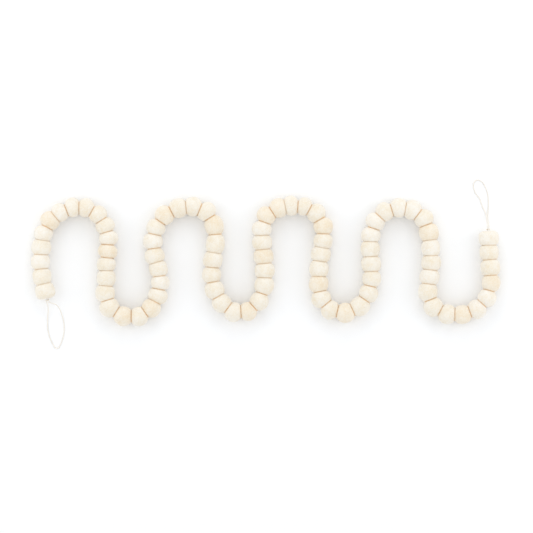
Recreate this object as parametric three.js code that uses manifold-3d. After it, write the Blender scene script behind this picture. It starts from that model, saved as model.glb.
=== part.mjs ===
// Felt ball garland: soft felt balls pressed close on one cotton thread, laid down in a
// serpentine, with the thread knotted off in a hanging loop at each end.
// Millimetres, +Z up. The balls lie on z = 0, with the middle of their layout over the origin.

import * as THREE from 'three';
import { mergeVertices } from 'three/addons/utils/BufferGeometryUtils.js';
import Module from 'manifold-3d';

const wasm = await Module();
wasm.setup();

// Driving dimensions
const BALL_RADIUS = 12.5;
const BALL_SIDES = 12;
const BELLY_SHARE = 0.42; // of the way from a ball's middle to its joints, where it is widest
const RIM_RADIUS = 6.5; // at its joints
const UNCUT_SHARE = 1.4; // where its shoulders end before it is cut flat
const HOLE_RADII = [1.2, 1.5]; // first and second ball of a pair
const THREAD_RADIUS = 0.7;
const THREAD_SIDES = 8;
const CLEARANCE = 0.3; // between two pieces that touch
const JOIN = 0.15; // how far each ball of a pair reaches into the joint they share

// Where each pair of balls starts, from the left loop to the right one: x, y, and how far
// the joint between its two balls bows out to the left of the way to the next pair
const PAIRS = [
  // First leg, up, and the bend at its top
  [-281, -49, 0.5], [-289, -11, 1.5], [-287, 26, 5.5], [-271, 57, 4], [-240, 69, 6.5],
  // Second leg, down, and the bend at its foot
  [-210, 52, 2.5], [-201, 20, -2.5], [-205, -13, 1], [-208, -52, -6.5], [-173, -74, -7],
  // Third leg, up
  [-142, -53, -3], [-136, -20, -0.5], [-146, 15, 3], [-138, 51, 5.5], [-103, 69, 7],
  // Fourth leg, down
  [-70, 56, 4.5], [-67, 10, -2], [-70, -28, -3], [-51, -63, -7.5], [-15, -61, -5],
  // Fifth leg, up
  [-2, -22, -1], [-5, 14, 0.5], [-6, 50, 6.5], [24, 69, 3.5], [56, 67, 7.5],
  // Sixth leg, down
  [74, 34, 0], [68, -1, -1], [67, -40, -7], [90, -68, -7.5],
  // Seventh leg, up
  [127, -51, -3.5], [135, -14, 1], [133, 24, 4.5], [144, 57, 6.5], [178, 67, 7],
  // Eighth leg, down
  [206, 46, 1], [211, 6, 1.5], [207, -30, -8.5], [221, -67, -3], [261, -68, -5],
  // Last leg, up to the right loop
  [287, -39, -2], [285, 1, -0.5],
];
const LAST_JOINT = [284, 38];
const LAYOUT_MIDDLE = [-0.8, -0.8];

// The hanging loops: x, y and height of the thread's middle, out of the knot and back to it
const LEFT_LOOP = [
  [-281.4, -53.2, 12.3], [-280.2, -57, 11.3], [-279.6, -61, 8], [-279.8, -66, 4],
  [-280.3, -72, 1.6], [-280.5, -79, 0.8], [-280.3, -87, 0.75], [-278.9, -94.5, 0.75],
  [-276.4, -102, 0.75], [-273, -108.6, 0.75], [-270.2, -112.4, 0.75], [-267.2, -112.4, 0.75],
  [-264.8, -109, 0.75], [-262, -102.6, 0.75], [-260, -95.5, 0.75], [-259.4, -86, 0.75],
  [-260.2, -77, 0.8], [-262, -70, 1.6], [-264, -64.4, 4], [-266.6, -59.4, 8],
  [-270.4, -56, 11], [-275, -54.6, 12.2], [-279.2, -53, 12.4],
];
const RIGHT_LOOP = [
  [282.8, 42.2, 12.3], [282.6, 46, 11.2], [282.2, 50, 8], [281.9, 54.5, 4.4],
  [281.4, 59, 1.8], [279.6, 63.5, 0.9], [277.2, 67.8, 0.75], [274.6, 74.8, 0.75],
  [272.4, 80.4, 0.75], [268.4, 85, 0.75], [266, 91.5, 0.75], [265.2, 98, 0.75],
  [269.4, 103, 0.75], [275.2, 101.4, 0.75], [279.6, 95.6, 0.75], [282.8, 87.4, 0.75],
  [284.2, 78, 0.75], [284.2, 70, 0.75], [283.8, 63.5, 0.9], [283.6, 59, 1.8],
  [283.6, 54.5, 4.4], [283.9, 50, 8], [284.4, 46, 11.2], [284.7, 42.2, 12.3],
];
const LOOP_STEPS = 40;

const felt = () => new THREE.MeshStandardMaterial({ color: 0xf3e9d8, roughness: 0.95, metalness: 0 });
const cotton = () => new THREE.MeshStandardMaterial({ color: 0xede3cf, roughness: 0.9, metalness: 0 });

// The points where ball meets ball, two for each pair, in the plane of the balls' axes
function findJoints() {
  const joints = [];
  PAIRS.forEach(([x, y, bow], k) => {
    const start = new THREE.Vector3(x, y, 0);
    const end = new THREE.Vector3(...(PAIRS[k + 1] ?? LAST_JOINT).slice(0, 2), 0);
    const along = end.clone().sub(start).normalize();
    const left = new THREE.Vector3(-along.y, along.x, 0);
    joints.push(start, start.clone().lerp(end, 0.5).addScaledVector(left, bow));
  });
  joints.push(new THREE.Vector3(...LAST_JOINT, 0));
  return joints;
}

const joints = findJoints();
const directions = joints.slice(1).map((joint, i) => joint.clone().sub(joints[i]).normalize());

// A ball around the Y axis before it is pressed: a band at the belly and two straight shoulders.
// Its facets touch the true radii, and one of them faces straight down to rest on.
function uncutBall(halfSpan, holeRadius) {
  const outward = 1 / Math.cos(Math.PI / BALL_SIDES);
  const taper = (BALL_RADIUS - RIM_RADIUS) / (1 - BELLY_SHARE);
  const tipRadius = BALL_RADIUS - taper * (UNCUT_SHARE - BELLY_SHARE);
  const profile = [
    [holeRadius, -UNCUT_SHARE],
    [tipRadius, -UNCUT_SHARE],
    [BALL_RADIUS, -BELLY_SHARE],
    [BALL_RADIUS, BELLY_SHARE],
    [tipRadius, UNCUT_SHARE],
    [holeRadius, UNCUT_SHARE],
    [holeRadius, -UNCUT_SHARE],
  ].map(([radius, share]) => new THREE.Vector2(radius * outward, share * halfSpan));
  return new THREE.LatheGeometry(profile, BALL_SIDES, Math.PI / BALL_SIDES);
}

function toSolid(geometry) {
  geometry.deleteAttribute('normal');
  geometry.deleteAttribute('uv');
  const merged = mergeVertices(geometry, 1e-4);
  return new wasm.Manifold(new wasm.Mesh({
    numProp: 3,
    vertProperties: new Float32Array(merged.attributes.position.array),
    triVerts: new Uint32Array(merged.index.array),
  }));
}

function toGeometry(solid) {
  const mesh = solid.getMesh();
  const geometry = new THREE.BufferGeometry();
  geometry.setAttribute('position', new THREE.BufferAttribute(mesh.vertProperties, 3));
  geometry.setIndex(new THREE.BufferAttribute(mesh.triVerts, 1));
  geometry.computeVertexNormals();
  return geometry;
}

// Cuts a ball flat at a joint, where it presses against its neighbour in the plane that halves
// the string's turn. A little room stays between two nodes, and the balls of a pair overlap.
function cutFlat(ball, joint, way, origin) {
  const before = directions[joint - 1] ?? directions[joint];
  const after = directions[joint] ?? before;
  const inward = before.clone().add(after).normalize().multiplyScalar(way);
  const room = joint % 2 === 1 ? -JOIN : CLEARANCE / 2;
  const place = joints[joint].clone().sub(origin);
  return ball.trimByPlane(inward.toArray(), inward.dot(place) + room);
}

// The ball between joint i and the next, in the frame of its pair's first joint
function ballSolid(i, origin) {
  const up = new THREE.Vector3(0, 0, 1);
  const across = directions[i].clone().cross(up);
  const place = new THREE.Matrix4().makeBasis(across, directions[i], up);
  place.setPosition(joints[i].clone().lerp(joints[i + 1], 0.5).sub(origin));
  const halfSpan = joints[i].distanceTo(joints[i + 1]) / 2;
  const ball = toSolid(uncutBall(halfSpan, HOLE_RADII[i % 2]).applyMatrix4(place));
  return cutFlat(cutFlat(ball, i, 1, origin), i + 1, -1, origin);
}

function makeBalls() {
  return PAIRS.map((row, k) => {
    const origin = joints[2 * k];
    const pair = ballSolid(2 * k, origin).add(ballSolid(2 * k + 1, origin));
    const mesh = new THREE.Mesh(toGeometry(pair), felt());
    mesh.name = `balls_${String(k + 1).padStart(2, '0')}`;
    mesh.position.copy(origin);
    return mesh;
  });
}

// A line that turns only at its points, so that a thread along it stays in the middle of each hole
class StraightRuns extends THREE.Curve {
  constructor(points) {
    super();
    this.points = points;
  }

  getPoint(t) {
    const at = t * (this.points.length - 1);
    const k = Math.min(Math.floor(at), this.points.length - 2);
    return this.points[k].clone().lerp(this.points[k + 1], at - k);
  }

  getUtoTmapping(u) {
    return u;
  }
}

function threadMesh(name, path, steps) {
  const section = new THREE.Shape();
  section.absarc(0, 0, THREAD_RADIUS, 0, 2 * Math.PI);
  const outline = new THREE.Shape(section.getSpacedPoints(THREAD_SIDES).slice(0, THREAD_SIDES));
  const mesh = new THREE.Mesh(new THREE.ExtrudeGeometry(outline, { steps, extrudePath: path }), cotton());
  mesh.name = name;
  return mesh;
}

function makeLoop(name, points) {
  const route = new THREE.CatmullRomCurve3(points.map((point) => new THREE.Vector3(...point)));
  return threadMesh(name, route, LOOP_STEPS);
}

// A knot pulled up against the hole of an end ball, lying along the string's last direction
function makeKnot(name, joint, outward) {
  const profile = [[0, 0], [2.6, 0], [3, 1.2], [2.4, 2.8], [0, 3.4]];
  const geometry = new THREE.LatheGeometry(profile.map(([r, h]) => new THREE.Vector2(r, h)), 10);
  const knot = new THREE.Mesh(geometry, cotton());
  knot.name = name;
  knot.position.copy(joint).addScaledVector(outward, CLEARANCE);
  knot.quaternion.setFromUnitVectors(new THREE.Vector3(0, 1, 0), outward);
  return knot;
}

const strung = new THREE.Group();
strung.position.z = BALL_RADIUS;
strung.add(...makeBalls());
strung.add(threadMesh('string', new StraightRuns(joints), directions.length));
strung.add(makeKnot('knot_left', joints[0], directions[0].clone().negate()));
strung.add(makeKnot('knot_right', joints.at(-1), directions.at(-1)));

const garland = new THREE.Group();
garland.position.set(-LAYOUT_MIDDLE[0], -LAYOUT_MIDDLE[1], 0);
garland.add(strung, makeLoop('loop_left', LEFT_LOOP), makeLoop('loop_right', RIGHT_LOOP));

export default garland;
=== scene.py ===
import math
import random

import bmesh
import bpy
from mathutils import Euler, Matrix, Vector, noise


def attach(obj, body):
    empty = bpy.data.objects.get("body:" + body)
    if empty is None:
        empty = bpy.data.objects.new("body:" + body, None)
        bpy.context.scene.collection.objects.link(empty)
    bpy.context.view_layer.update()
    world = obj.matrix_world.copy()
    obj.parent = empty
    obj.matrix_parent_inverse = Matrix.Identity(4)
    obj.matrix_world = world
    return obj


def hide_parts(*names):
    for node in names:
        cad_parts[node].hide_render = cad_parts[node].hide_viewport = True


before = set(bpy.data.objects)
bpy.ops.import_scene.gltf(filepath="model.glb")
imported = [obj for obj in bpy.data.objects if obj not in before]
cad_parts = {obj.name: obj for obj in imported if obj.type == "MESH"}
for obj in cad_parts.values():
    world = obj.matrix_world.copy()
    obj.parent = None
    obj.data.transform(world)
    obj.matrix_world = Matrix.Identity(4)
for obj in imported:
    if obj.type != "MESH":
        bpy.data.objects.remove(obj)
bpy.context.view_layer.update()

# Camera and studio. The garland lies on a white sweep in a bright tent of light, seen from
# straight above through a long lens. A low softbox stands on each side, the strongest at the
# top, so the outer side of each bend is bright and a soft shadow lies within the upper bends.
scene = bpy.context.scene
scene.view_settings.view_transform = "Standard"
scene.view_settings.exposure = 0.0

camera_data = bpy.data.cameras.new("camera")
camera_data.lens = 500
camera = bpy.data.objects.new("camera", camera_data)
camera.location = (0.0008, -0.0069, 9.4875)
scene.collection.objects.link(camera)
scene.camera = camera

tent = bpy.data.worlds.new("light tent")
tent.use_nodes = True
tent.node_tree.nodes["Background"].inputs["Color"].default_value = (0.955, 0.975, 1.0, 1.0)
tent.node_tree.nodes["Background"].inputs["Strength"].default_value = 0.9
scene.world = tent

softbox_width = 0.7
for name, place, power in (("softbox_left", (-0.95, 0.1, 0.6), 1.6),
                           ("softbox_right", (0.95, 0.1, 0.6), 1.6),
                           ("softbox_top", (0.0, 0.95, 0.6), 1.9),
                           ("softbox_bottom", (0.0, -0.95, 0.6), 0.5)):
    light = bpy.data.lights.new(name, "AREA")
    light.size = softbox_width
    light.energy = power
    softbox = bpy.data.objects.new(name, light)
    softbox.location = place
    softbox.rotation_euler = (-Vector(place)).to_track_quat("-Z", "Y").to_euler()
    softbox.visible_camera = False
    scene.collection.objects.link(softbox)

sweep_reach = 4.0
below_balls = 0.0001
sweep_bm = bmesh.new()
bmesh.ops.create_grid(sweep_bm, x_segments=8, y_segments=8, size=sweep_reach)
bmesh.ops.translate(sweep_bm, verts=sweep_bm.verts, vec=(0, 0, -below_balls))
sweep_mesh = bpy.data.meshes.new("sweep")
sweep_bm.to_mesh(sweep_mesh)
sweep_bm.free()
sweep = bpy.data.objects.new("sweep", sweep_mesh)
scene.collection.objects.link(sweep)
paper = bpy.data.materials.new("white paper")
paper.use_nodes = True
paper_shader = paper.node_tree.nodes["Principled BSDF"]
paper_shader.inputs["Base Color"].default_value = (0.97, 0.97, 0.97, 1.0)
paper_shader.inputs["Roughness"].default_value = 0.9
paper_shader.inputs["Specular IOR Level"].default_value = 0.1
sweep_mesh.materials.append(paper)

# Hanging loops. Each end of the string comes back on itself in a loop of the same cotton
# thread: three plies twisted together, limp, fallen from the end ball to the surface.
thread_radius = 0.0007
ply_pitch = 0.0036
ply_groove = 0.6
section_points = 15
layout_middle = Vector((-0.0008, -0.0008, 0))


def add_node(tree, kind, settings=(), inputs=()):
    """A node, of a shader unless its whole kind is given. An input is a value, or the
    socket that feeds it."""
    node = tree.nodes.new(kind if "Node" in kind else "ShaderNode" + kind)
    for name, value in dict(settings).items():
        setattr(node, name, value)
    for name, value in dict(inputs).items():
        if isinstance(value, bpy.types.NodeSocket):
            tree.links.new(value, node.inputs[name])
        else:
            node.inputs[name].default_value = value
    return node


def cotton_material():
    """Matt off-white cotton, whose fibres show as fine soft streaks."""
    cotton = bpy.data.materials.new("cotton thread")
    cotton.use_nodes = True
    tree = cotton.node_tree
    shader = tree.nodes["Principled BSDF"]
    place = add_node(tree, "TexCoord").outputs["Object"]
    fibres = add_node(tree, "TexNoise", inputs={
        "Vector": place, "Scale": 2600.0, "Detail": 3.0, "Roughness": 0.6})
    patches = add_node(tree, "TexNoise", inputs={"Vector": place, "Scale": 180.0, "Detail": 2.0})
    shade = add_node(tree, "MixRGB", inputs={
        "Fac": fibres.outputs["Fac"],
        "Color1": (0.94, 0.88, 0.79, 1.0), "Color2": (0.99, 0.96, 0.9, 1.0)})
    colour = add_node(tree, "MixRGB", {"blend_type": "MULTIPLY"}, {
        "Fac": patches.outputs["Fac"], "Color1": shade.outputs["Color"],
        "Color2": (1.0, 0.98, 0.95, 1.0)})
    bump = add_node(tree, "Bump", inputs={
        "Height": fibres.outputs["Fac"], "Strength": 0.6, "Distance": 0.00008})
    tree.links.new(colour.outputs["Color"], shader.inputs["Base Color"])
    tree.links.new(bump.outputs["Normal"], shader.inputs["Normal"])
    shader.inputs["Roughness"].default_value = 0.88
    shader.inputs["Sheen Weight"].default_value = 0.25
    shader.inputs["Sheen Roughness"].default_value = 0.5
    return cotton


cotton = cotton_material()

# The outline of three plies lying together, swept along the thread and turned as it goes
ply_outline = bpy.data.curves.new("ply outline", "CURVE")
outline_spline = ply_outline.splines.new("POLY")
outline_spline.points.add(section_points - 1)
outline_spline.use_cyclic_u = True
for step, point in enumerate(outline_spline.points):
    around = 2 * math.pi * step / section_points
    from_ply = around % (2 * math.pi / 3) - math.pi / 3
    reach = thread_radius * math.cos(ply_groove * from_ply)
    point.co = (reach * math.cos(around), reach * math.sin(around), 0, 1)
ply_section = bpy.data.objects.new("ply outline", ply_outline)
scene.collection.objects.link(ply_section)


def as_mesh(shape):
    """A mesh of an object as its modifiers or its curve's settings leave it."""
    return bpy.data.meshes.new_from_object(
        shape.evaluated_get(bpy.context.evaluated_depsgraph_get()))


def twist_thread(name, route, handles="AUTO", steps=16, closed=False):
    """Twisted thread along a route: its object, and the line down its middle."""
    curve = bpy.data.curves.new(name, "CURVE")
    curve.dimensions = "3D"
    curve.resolution_u = steps
    curve.twist_mode = "MINIMUM"
    spline = curve.splines.new("BEZIER")
    spline.bezier_points.add(len(route) - 1)
    spline.use_cyclic_u = closed
    spline.tilt_interpolation = "LINEAR"
    gone = 0.0
    for k, (point, place) in enumerate(zip(spline.bezier_points, route)):
        if k > 0:
            gone += (Vector(place) - Vector(route[k - 1])).length
        point.co = place
        point.handle_left_type = point.handle_right_type = handles
        point.tilt = 2 * math.pi * gone / ply_pitch
    shape = bpy.data.objects.new(name, curve)
    scene.collection.objects.link(shape)
    middle = [vertex.co.copy() for vertex in as_mesh(shape).vertices]
    curve.bevel_mode = "OBJECT"
    curve.bevel_object = ply_section
    curve.use_fill_caps = not closed
    mesh = as_mesh(shape)
    bpy.data.objects.remove(shape)
    thread = bmesh.new()
    thread.from_mesh(mesh)
    bmesh.ops.remove_doubles(thread, verts=thread.verts, dist=1e-6)
    bmesh.ops.recalc_face_normals(thread, faces=thread.faces)
    thread.to_mesh(mesh)
    thread.free()
    mesh.materials.clear()
    mesh.materials.append(cotton)
    mesh.shade_smooth()
    piece = bpy.data.objects.new(name, mesh)
    scene.collection.objects.link(piece)
    return piece, middle


left_route = [
    (-0.2814, -0.0532, 0.0123), (-0.2802, -0.057, 0.0113), (-0.2796, -0.061, 0.008),
    (-0.2798, -0.066, 0.004), (-0.2803, -0.072, 0.0016), (-0.2805, -0.079, 0.0008),
    (-0.2803, -0.087, 0.00075), (-0.2789, -0.0945, 0.00075), (-0.2764, -0.102, 0.00075),
    (-0.273, -0.1086, 0.00075), (-0.2702, -0.1124, 0.00075), (-0.2672, -0.1124, 0.00075),
    (-0.2648, -0.109, 0.00075), (-0.262, -0.1026, 0.00075), (-0.26, -0.0955, 0.00075),
    (-0.2594, -0.086, 0.00075), (-0.2602, -0.077, 0.0008), (-0.262, -0.07, 0.0016),
    (-0.264, -0.0644, 0.004), (-0.2666, -0.0594, 0.008), (-0.2704, -0.056, 0.011),
    (-0.275, -0.0546, 0.0122), (-0.2792, -0.053, 0.0124),
]
right_route = [
    (0.2828, 0.0422, 0.0123), (0.2826, 0.046, 0.0112), (0.2822, 0.05, 0.008),
    (0.2819, 0.0545, 0.0044), (0.2814, 0.059, 0.0018), (0.2796, 0.0635, 0.0009),
    (0.2772, 0.0678, 0.00075), (0.2746, 0.0748, 0.00075), (0.2724, 0.0804, 0.00075),
    (0.2684, 0.085, 0.00075), (0.266, 0.0915, 0.00075), (0.2652, 0.098, 0.00075),
    (0.2694, 0.103, 0.00075), (0.2752, 0.1014, 0.00075), (0.2796, 0.0956, 0.00075),
    (0.2828, 0.0874, 0.00075), (0.2842, 0.078, 0.00075), (0.2842, 0.07, 0.00075),
    (0.2838, 0.0635, 0.0009), (0.2836, 0.059, 0.0018), (0.2836, 0.0545, 0.0044),
    (0.2839, 0.05, 0.008), (0.2844, 0.046, 0.0112), (0.2847, 0.0422, 0.0123),
]
loop_pieces = {}
for side, route in (("left", left_route), ("right", right_route)):
    placed = [Vector(point) - layout_middle for point in route]
    loop, middle = twist_thread(f"thread_loop_{side}", placed)
    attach(loop, "root")
    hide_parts(f"loop_{side}")
    loop_pieces[side] = (loop, middle)

# Felt balls. Each is rolled from undyed wool and pressed on the string between its
# neighbours, so it has a flat at either end, in the plane that halves the string's turn
# there. Its skin is matted fibre, a little lumpy, with painted shade, warm in tone, where two
# balls meet.

# Sizes are in millimetres here, and those called shares are shares of a ball's own size
ball_radius = 12.5
radius_spread = 0.3
uncut_shares = 1.16, 1.21
breadth_shares = 0.98, 1.06
pierced_radius = 1.2
hole_reach = 5
askew = Vector((0.61, 1.0, 0.37))
rim_rounding = 0.3
flat_room = 0.004
settled = 0.12
outline_steps = 9
turn_steps = 44

# Where each pair of balls starts, and how far the joint within the pair bows to the left
ball_pairs = [
    (-281, -49, 0.5), (-289, -11, 1.5), (-287, 26, 5.5), (-271, 57, 4), (-240, 69, 6.5),
    (-210, 52, 2.5), (-201, 20, -2.5), (-205, -13, 1), (-208, -52, -6.5), (-173, -74, -7),
    (-142, -53, -3), (-136, -20, -0.5), (-146, 15, 3), (-138, 51, 5.5), (-103, 69, 7),
    (-70, 56, 4.5), (-67, 10, -2), (-70, -28, -3), (-51, -63, -7.5), (-15, -61, -5),
    (-2, -22, -1), (-5, 14, 0.5), (-6, 50, 6.5), (24, 69, 3.5), (56, 67, 7.5),
    (74, 34, 0), (68, -1, -1), (67, -40, -7), (90, -68, -7.5),
    (127, -51, -3.5), (135, -14, 1), (133, 24, 4.5), (144, 57, 6.5), (178, 67, 7),
    (206, 46, 1), (211, 6, 1.5), (207, -30, -8.5), (221, -67, -3), (261, -68, -5),
    (287, -39, -2), (285, 1, -0.5),
]
last_joint = Vector((284, 38, 0))

joints = []
for row, (x, y, bow) in enumerate(ball_pairs):
    start = Vector((x, y, 0))
    end = Vector(ball_pairs[row + 1][:2] + (0,)) if row + 1 < len(ball_pairs) else last_joint
    along = (end - start).normalized()
    left = Vector((-along.y, along.x, 0))
    joints += [start, start.lerp(end, 0.5) + left * bow]
joints.append(last_joint)
directions = [(b - a).normalized() for a, b in zip(joints, joints[1:])]


def matted_wool_group():
    """Skin of rolled felt: fibres lying every way over each other, clouded by the uneven
    batts of wool below, with painted shade, warm in tone, in the crease at a flat."""
    group = bpy.data.node_groups.new("matted wool", "ShaderNodeTree")
    sockets = group.interface
    for name, kind in (("Wool place", "NodeSocketVector"), ("Flat place", "NodeSocketVector"),
                       ("Pale wool", "NodeSocketColor"), ("Deep wool", "NodeSocketColor"),
                       ("Pressed wool", "NodeSocketColor")):
        sockets.new_socket(name, in_out="INPUT", socket_type=kind)
    for name, kind in (("Color", "NodeSocketColor"), ("Roughness", "NodeSocketFloat"),
                       ("Height", "NodeSocketFloat")):
        sockets.new_socket(name, in_out="OUTPUT", socket_type=kind)
    given = group.nodes.new("NodeGroupInput").outputs
    wool = given["Wool place"]

    # Two layers of fibres, each bent by the same slow swirl and drawn out its own way
    swirl = add_node(group, "TexNoise", inputs={"Vector": wool, "Scale": 0.22, "Detail": 1.0})
    bent = add_node(group, "VectorMath", {"operation": "MULTIPLY_ADD"}, {
        0: swirl.outputs["Color"], 1: (9.0, 9.0, 9.0), 2: wool})
    layers = []
    for drawn_out in ((0.12, 1.0, 1.0), (1.0, 0.12, 0.8)):
        lie = add_node(group, "Mapping", inputs={
            "Vector": bent.outputs["Vector"], "Scale": drawn_out})
        layer = add_node(group, "TexNoise", inputs={
            "Vector": lie.outputs["Vector"], "Scale": 0.65, "Detail": 5.0, "Roughness": 0.66})
        layers.append(layer.outputs["Fac"])
    over = add_node(group, "TexNoise", inputs={"Vector": wool, "Scale": 0.5, "Detail": 1.0})
    over_share = add_node(group, "MapRange", inputs={
        "Value": over.outputs["Fac"], "From Min": 0.42, "From Max": 0.58})
    fibres = add_node(group, "Mix", inputs={
        "Factor": over_share.outputs["Result"], "A": layers[0], "B": layers[1]})
    strands = add_node(group, "MapRange", inputs={
        "Value": fibres.outputs["Result"], "From Min": 0.36, "From Max": 0.64})

    clouds = add_node(group, "TexNoise", inputs={
        "Vector": wool, "Scale": 0.08, "Detail": 3.0, "Roughness": 0.5})
    depth = add_node(group, "Math", {"operation": "MULTIPLY_ADD", "use_clamp": True}, {
        0: strands.outputs["Result"], 1: 0.6, 2: clouds.outputs["Fac"]})
    body_share = add_node(group, "MapRange", inputs={
        "Value": depth.outputs["Value"], "From Min": 0.42, "From Max": 1.16})
    body = add_node(group, "MixRGB", inputs={
        "Fac": body_share.outputs["Result"], "Color1": given["Deep wool"],
        "Color2": given["Pale wool"]})

    # Flat place holds the distance to the nearer flat, how much painted crease shade that flat
    # takes and the distance outwards from the pierced hole
    distance = add_node(group, "SeparateXYZ", inputs={"Vector": given["Flat place"]})
    # Painted shade, warm in tone, in the crease where two balls meet, stronger at a bend
    crease = add_node(group, "MapRange", {"interpolation_type": "SMOOTHSTEP"}, {
        "Value": distance.outputs["X"], "From Min": 0.2, "From Max": 1.2,
        "To Min": 1.0, "To Max": 0.0})
    crease_share = add_node(group, "Math", {"operation": "MULTIPLY"}, {
        0: crease.outputs["Result"], 1: distance.outputs["Y"]})
    crease_shaded = add_node(group, "MixRGB", {"blend_type": "MULTIPLY"}, {
        "Fac": crease_share.outputs["Value"], "Color1": body.outputs["Color"],
        "Color2": given["Pressed wool"]})
    # Painted shade, dark brown, in the pierced hole and round its rim
    hole = add_node(group, "MapRange", {"interpolation_type": "SMOOTHSTEP"}, {
        "Value": distance.outputs["Z"], "From Min": 0.2, "From Max": 2.2,
        "To Min": 0.9, "To Max": 0.0})
    pierced = add_node(group, "MixRGB", {"blend_type": "MULTIPLY"}, {
        "Fac": hole.outputs["Result"], "Color1": crease_shaded.outputs["Color"],
        "Color2": (0.5, 0.36, 0.24, 1.0)})

    roughness = add_node(group, "MapRange", inputs={
        "Value": strands.outputs["Result"], "To Min": 0.98, "To Max": 0.88})
    relief = add_node(group, "Math", {"operation": "MULTIPLY_ADD"}, {
        0: clouds.outputs["Fac"], 1: 1.6, 2: strands.outputs["Result"]})
    made = group.nodes.new("NodeGroupOutput").inputs
    group.links.new(pierced.outputs["Color"], made["Color"])
    group.links.new(roughness.outputs["Result"], made["Roughness"])
    group.links.new(relief.outputs["Value"], made["Height"])
    return group


matted_wool = matted_wool_group()


def felt_material(name, pale, deep, crease_shade):
    felt = bpy.data.materials.new(name)
    felt.use_nodes = True
    tree = felt.node_tree
    shader = tree.nodes["Principled BSDF"]
    wool = add_node(tree, "Attribute", {"attribute_name": "wool_place"})
    flat = add_node(tree, "Attribute", {"attribute_name": "flat_place"})
    skin = add_node(tree, "Group", {"node_tree": matted_wool}, {
        "Wool place": wool.outputs["Vector"], "Flat place": flat.outputs["Vector"],
        "Pale wool": pale, "Deep wool": deep, "Pressed wool": crease_shade})
    bump = add_node(tree, "Bump", inputs={
        "Height": skin.outputs["Height"], "Strength": 0.7, "Distance": 0.00022})
    tree.links.new(skin.outputs["Color"], shader.inputs["Base Color"])
    tree.links.new(skin.outputs["Roughness"], shader.inputs["Roughness"])
    tree.links.new(bump.outputs["Normal"], shader.inputs["Normal"])
    shader.inputs["Specular IOR Level"].default_value = 0.15
    shader.inputs["Sheen Weight"].default_value = 1.0
    shader.inputs["Sheen Roughness"].default_value = 0.45
    shader.inputs["Sheen Tint"].default_value = (1.0, 0.97, 0.92, 1.0)
    return felt


# Each felt: pale wool, deep wool, and the colour of the painted shade in its creases
felts = {
    "ivory": felt_material("ivory felt", (0.94, 0.91, 0.85, 1), (0.88, 0.78, 0.62, 1),
                           (0.94, 0.73, 0.49, 1)),
    "cream": felt_material("cream felt", (0.93, 0.89, 0.81, 1), (0.86, 0.75, 0.57, 1),
                           (0.94, 0.72, 0.46, 1)),
    "oat": felt_material("oat felt", (0.93, 0.87, 0.76, 1), (0.86, 0.72, 0.52, 1),
                         (0.94, 0.71, 0.44, 1)),
}
ivory_balls = {3, 5, 7, 12, 22, 25, 44, 63, 64, 66, 67, 70, 72, 77, 78, 82}
oat_balls = {6, 13, 18, 20, 27, 31, 38, 42, 45, 46, 50, 54, 57, 69, 76, 79}
hand = random.Random(82)

# What find_flat gives for a free end, and how sharp a bend still changes the shoulders. The
# last three are the values on a straight run and what each unit of slope at a bend adds.
free_end = 0.0, 1.04, 3.0, 0.0
sharp_bend = 0.25
extra_reach = 0.08, -0.32
shoulder_fullness = 2.6, -2.0
# Painted crease shade: its share on a straight run and what each unit of slope adds
crease_shade_amount = 0.24, 3.3


def find_flat(joint, uncut, breadth):
    """The flat in which a ball ends at a joint: how far it leans out for each millimetre
    across a ball not yet broadened, how far the ball would reach uncut, as a share of its
    way to the joint, how full its shoulder is, and how much painted shade its crease takes.
    Shoulders are fuller and reach further on a straight run. The string's two ends take no
    shade."""
    if joint in (0, len(directions)):
        return free_end
    slope = math.tan(directions[joint].xy.angle_signed(directions[joint - 1].xy) / 2)
    bent = min(sharp_bend, abs(slope))
    reach = uncut + extra_reach[0] + extra_reach[1] * bent
    fullness = shoulder_fullness[0] + shoulder_fullness[1] * bent
    # Painted shade in the crease, more at a sharper bend
    crease_shade = min(1, crease_shade_amount[0] + crease_shade_amount[1] * abs(slope))
    return slope * breadth, reach, fullness, crease_shade


def put_in_order(ball):
    """The same ball with its vertices and faces in a fixed order, along a line askew to it.
    The bevel leaves an order that changes from run to run, and the fuzz is sown by order."""
    ranked = sorted(ball.verts, key=lambda vertex: vertex.co.dot(askew))
    ranks = {vertex: rank for rank, vertex in enumerate(ranked)}
    faces = []
    for face in ball.faces:
        corners = [ranks[vertex] for vertex in face.verts]
        first = corners.index(min(corners))
        faces.append(corners[first:] + corners[:first])
    ordered = bmesh.new()
    verts = [ordered.verts.new(vertex.co) for vertex in ranked]
    for corners in sorted(faces):
        ordered.faces.new([verts[rank] for rank in corners])
    ordered.normal_update()
    ball.free()
    return ordered


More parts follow.
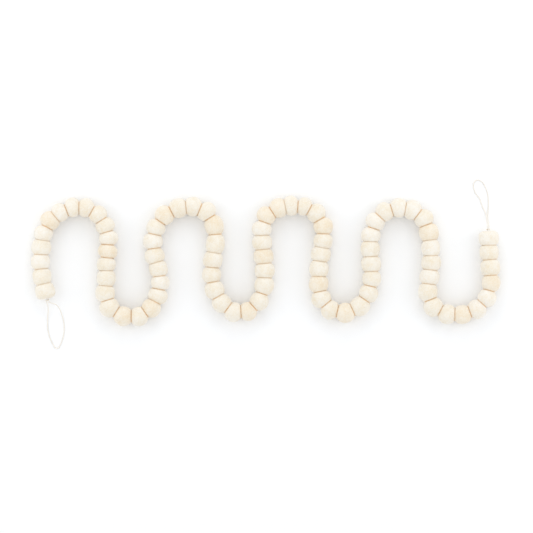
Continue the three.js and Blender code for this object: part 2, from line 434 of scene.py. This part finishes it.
def form_ball(half_span, flats, radius):
    """A ball around Y: a round form spun up and cut by its two flats. Its vertices keep the
    distance to the nearer flat, or the ball's radius at a free end, how much painted crease
    shade that flat takes, which is more where the string bends, and the distance to the hole."""
    outline = [(pierced_radius, -1.0)]
    for step in range(-outline_steps, outline_steps + 1):
        outline.append((radius, math.sin(math.pi / 2 * step / outline_steps)))
    outline.append((pierced_radius, 1.0))
    ball = bmesh.new()
    points = [ball.verts.new((r, share, 0)) for r, share in outline]
    edges = [ball.edges.new(pair) for pair in zip(points, points[1:] + points[:1])]
    bmesh.ops.spin(ball, geom=points + edges, cent=(0, 0, 0), axis=(0, 1, 0), dvec=(0, 0, 0),
                   angle=2 * math.pi, steps=turn_steps, use_merge=True)
    bmesh.ops.remove_doubles(ball, verts=ball.verts, dist=1e-4)

    def shoulder(y, uncut, fullness):
        """How far out the round side lies at a height along Y, as a share of the radius."""
        share = min(1, abs(y) / (uncut * half_span))
        return (1 - share ** fullness) ** (1 / fullness)

    def find_rim(lean, uncut, fullness):
        """How far along Y the round side meets a flat that leans so, found by halving the
        range in which it can lie, down to less than a thousandth of a millimetre."""
        inside, outside = 0.0, radius
        for _ in range(16):
            rim = (inside + outside) / 2
            if rim < radius * shoulder(half_span + lean * rim, uncut, fullness):
                inside = rim
            else:
                outside = rim
        return half_span + lean * inside

    rims = []
    for edge in ball.edges:
        if all(abs(v.co.y) > 0.999 and math.hypot(v.co.x, v.co.z) > hole_reach
               for v in edge.verts):
            rims.append(edge)
    for vertex in ball.verts:
        x, share, z = vertex.co
        if math.hypot(x, z) < hole_reach:
            vertex.co.y = share * (half_span + flats[share > 0][0] * x)
            continue
        slope, uncut, fullness, _ = flats[share > 0]
        y = share * find_rim(slope * x / math.hypot(x, z), uncut, fullness)
        out = shoulder(y, uncut, fullness)
        vertex.co = (x * out, y, z * out)
    bmesh.ops.bevel(ball, geom=rims, offset=rim_rounding, segments=3, profile=0.5,
                    affect="EDGES", material=-1)
    bmesh.ops.recalc_face_normals(ball, faces=ball.faces)
    ball = put_in_order(ball)
    flat_place = ball.verts.layers.float_vector.new("flat_place")
    for vertex in ball.verts:
        x, y, z = vertex.co
        slope, _, _, crease_shade = flats[y > 0]
        to_flat = half_span + slope * x - abs(y) if crease_shade else ball_radius
        vertex[flat_place] = (to_flat, crease_shade, math.hypot(x, z) - pierced_radius)
    return ball


lumps = (0.34, 0.13), (0.12, 0.42)
lump_fade = 2
batt_reach = 300
up = Vector((0, 0, 1))
balls = []
for number, direction in enumerate(directions, start=1):
    radius = ball_radius - hand.uniform(0, radius_spread)
    uncut = hand.uniform(*uncut_shares)
    breadth = hand.uniform(*breadth_shares)
    flats = find_flat(number - 1, uncut, breadth), find_flat(number, uncut, breadth)
    half_span = (joints[number] - joints[number - 1]).length / 2 - flat_room
    ball = form_ball(half_span, flats, radius)
    bmesh.ops.scale(ball, vec=(breadth, 1, 1), verts=ball.verts)

    # Lumps of the rolling, each kind with its height and how close it comes, which fade out
    # towards the flats
    flat_place = ball.verts.layers.float_vector["flat_place"]
    wool_place = ball.verts.layers.float_vector.new("wool_place")
    rolled = Euler([hand.uniform(0, 2 * math.pi) for _ in "xyz"]).to_matrix()
    batt = Vector([hand.uniform(-batt_reach, batt_reach) for _ in "xyz"])
    for vertex in ball.verts:
        place = rolled @ vertex.co + batt
        vertex[wool_place] = place
        lump = sum(rise * noise.noise(place * closeness) for rise, closeness in lumps)
        vertex.co += vertex.normal * (lump * min(1, vertex[flat_place].x / lump_fade))

    # The ball is laid in its place, in metres, and settles a little on the surface
    place = Matrix((direction.cross(up), direction, up)).transposed().to_4x4()
    middle = joints[number - 1].lerp(joints[number], 0.5) - layout_middle * 1000
    place.translation = middle + up * (radius - settled)
    bmesh.ops.transform(ball, matrix=Matrix.Scale(0.001, 4) @ place, verts=ball.verts)
    for vertex in ball.verts:
        vertex.co.z = max(0, vertex.co.z)
    mesh = bpy.data.meshes.new(f"felt_ball_{number:02d}")
    ball.to_mesh(mesh)
    ball.free()
    mesh.shade_smooth()
    felt = "ivory" if number in ivory_balls else "oat" if number in oat_balls else "cream"
    mesh.materials.append(felts[felt])
    piece = bpy.data.objects.new(mesh.name, mesh)
    scene.collection.objects.link(piece)
    balls.append(piece)
    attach(piece, "root")
    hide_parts(f"balls_{(number + 1) // 2:02d}")

# Fuzz. Short loose ends of wool stand off the rolled balls and lean every way, each a
# fine curled hair fixed at its root. They show as a soft bloom along the balls' edges.
hair_length = 0.0011
hair_thickness = 0.00007
hair_curl = 300
hair_lean = 1.2
hair_growth = 0.5, 1.25
hairs_to_the_square_metre = 190000
clear_of_surface = 0.0018
clear_of_flat_mm = 0.8
balls_to_a_batch = 10


def sow_group(hair):
    """Hairs sown over a ball's round side, clear of its flats and of the surface below, and
    the name by which a modifier sets their seed."""
    group = bpy.data.node_groups.new("sow fuzz", "GeometryNodeTree")
    sockets = group.interface
    sockets.new_socket("Ball", in_out="INPUT", socket_type="NodeSocketGeometry")
    seed = sockets.new_socket("Seed", in_out="INPUT", socket_type="NodeSocketInt")
    sockets.new_socket("Fuzz", in_out="OUTPUT", socket_type="NodeSocketGeometry")
    given = group.nodes.new("NodeGroupInput").outputs

    flat = add_node(group, "GeometryNodeInputNamedAttribute", {"data_type": "FLOAT_VECTOR"},
                    {"Name": "flat_place"})
    to_flat = add_node(group, "SeparateXYZ", inputs={"Vector": flat.outputs["Attribute"]})
    place = add_node(group, "GeometryNodeInputPosition")
    height = add_node(group, "SeparateXYZ", inputs={"Vector": place.outputs["Position"]})
    off_flat = add_node(group, "Math", {"operation": "GREATER_THAN"}, {
        0: to_flat.outputs["X"], 1: clear_of_flat_mm})
    off_surface = add_node(group, "Math", {"operation": "GREATER_THAN"}, {
        0: height.outputs["Z"], 1: clear_of_surface})
    here = add_node(group, "Math", {"operation": "MULTIPLY"}, {
        0: off_flat.outputs["Value"], 1: off_surface.outputs["Value"]})
    roots = add_node(group, "GeometryNodeDistributePointsOnFaces", inputs={
        "Mesh": given["Ball"], "Selection": here.outputs["Value"],
        "Density": hairs_to_the_square_metre, "Seed": given["Seed"]})
    lean = add_node(group, "FunctionNodeRandomValue", {"data_type": "FLOAT_VECTOR"}, {
        0: (-hair_lean, -hair_lean, 0), 1: (hair_lean, hair_lean, 2 * math.pi),
        "Seed": given["Seed"]})
    leaning = add_node(group, "FunctionNodeEulerToRotation", inputs={
        "Euler": lean.outputs[0]})
    turned = add_node(group, "FunctionNodeRotateRotation", {"rotation_space": "LOCAL"}, {
        "Rotation": roots.outputs["Rotation"], "Rotate By": leaning.outputs["Rotation"]})
    growth = add_node(group, "FunctionNodeRandomValue", {"data_type": "FLOAT"}, {
        2: hair_growth[0], 3: hair_growth[1], "Seed": given["Seed"]})
    shape = add_node(group, "GeometryNodeObjectInfo", inputs={"Object": hair})
    sown = add_node(group, "GeometryNodeInstanceOnPoints", inputs={
        "Points": roots.outputs["Points"], "Instance": shape.outputs["Geometry"],
        "Rotation": turned.outputs["Rotation"], "Scale": growth.outputs[1]})
    whole = add_node(group, "GeometryNodeRealizeInstances", inputs={
        "Geometry": sown.outputs["Instances"]})
    made = group.nodes.new("NodeGroupOutput").inputs
    group.links.new(whole.outputs["Geometry"], made["Fuzz"])
    return group, seed.identifier


fuzz_wool = bpy.data.materials.new("loose wool")
fuzz_wool.use_nodes = True
fuzz_tree = fuzz_wool.node_tree
fuzz_shader = fuzz_tree.nodes["Principled BSDF"]
fuzz_place = add_node(fuzz_tree, "TexCoord").outputs["Object"]
fuzz_tone = add_node(fuzz_tree, "TexNoise", inputs={"Vector": fuzz_place, "Scale": 90.0})
fuzz_colour = add_node(fuzz_tree, "MixRGB", inputs={
    "Fac": fuzz_tone.outputs["Fac"],
    "Color1": (0.9, 0.83, 0.71, 1.0), "Color2": (0.97, 0.95, 0.91, 1.0)})
fuzz_tree.links.new(fuzz_colour.outputs["Color"], fuzz_shader.inputs["Base Color"])
fuzz_shader.inputs["Roughness"].default_value = 0.9
fuzz_shader.inputs["Specular IOR Level"].default_value = 0.15

hair_bm = bmesh.new()
bmesh.ops.create_cone(hair_bm, cap_ends=True, cap_tris=True, segments=3,
                      radius1=hair_thickness / 2, radius2=hair_thickness / 8,
                      depth=hair_length, matrix=Matrix.Translation((0, 0, hair_length * 0.4)))
hair_sides = [edge for edge in hair_bm.edges if edge.calc_length() > hair_length / 2]
bmesh.ops.subdivide_edges(hair_bm, edges=hair_sides, cuts=1)
for vertex in hair_bm.verts:
    vertex.co.x += hair_curl * max(0, vertex.co.z) ** 2
bmesh.ops.recalc_face_normals(hair_bm, faces=hair_bm.faces)
hair_mesh = bpy.data.meshes.new("hair")
hair_bm.to_mesh(hair_mesh)
hair_bm.free()
hair = bpy.data.objects.new("hair", hair_mesh)
scene.collection.objects.link(hair)
sow_fuzz, seed_name = sow_group(hair)

for first in range(0, len(balls), balls_to_a_batch):
    batch = bmesh.new()
    for seed, ball in enumerate(balls[first:first + balls_to_a_batch], start=first):
        bare = bpy.data.objects.new("bare ball", ball.data)
        scene.collection.objects.link(bare)
        sowing = bare.modifiers.new("fuzz", "NODES")
        sowing.node_group = sow_fuzz
        sowing[seed_name] = seed
        batch.from_mesh(as_mesh(bare))
        bpy.data.objects.remove(bare)
    batch_mesh = bpy.data.meshes.new(f"wool_fuzz_{first // balls_to_a_batch + 1}")
    batch.to_mesh(batch_mesh)
    batch.free()
    batch_mesh.materials.clear()
    batch_mesh.materials.append(fuzz_wool)
    fuzz = bpy.data.objects.new(batch_mesh.name, batch_mesh)
    scene.collection.objects.link(fuzz)
    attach(fuzz, "root")
bpy.data.objects.remove(hair)

# String. One length of the same thread runs through every ball and stays hidden in them.
height = Vector((0, 0, ball_radius * 0.001))
string_route = [joint * 0.001 - layout_middle + height for joint in joints]
string_piece, _ = twist_thread("thread_string", string_route, handles="VECTOR", steps=20)
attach(string_piece, "root")
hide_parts("string")

# Knots. An overhand knot of the thread, pulled tight against each end ball, keeps the
# balls on and the loop open.
knot_gap = 0.0021
knot_size = 0.00074
knot_points = 24
for side, joint, outward, loop_length in (("left", string_route[0], -directions[0], 0.1425),
                                          ("right", string_route[-1], directions[-1], 0.1435)):
    turn = outward.to_track_quat("Z", "Y")
    crossings = []
    for step in range(knot_points):
        t = 2 * math.pi * step / knot_points
        bend = Vector((math.sin(t) + 2 * math.sin(2 * t), math.cos(t) - 2 * math.cos(2 * t),
                       -math.sin(3 * t)))
        crossings.append(joint + outward * knot_gap + turn @ (bend * knot_size))
    knot, _ = twist_thread(f"thread_knot_{side}", crossings, steps=6, closed=True)
    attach(knot, "root")
    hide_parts(f"knot_{side}")
    loop, middle = loop_pieces[side]

bpy.data.objects.remove(ply_section)
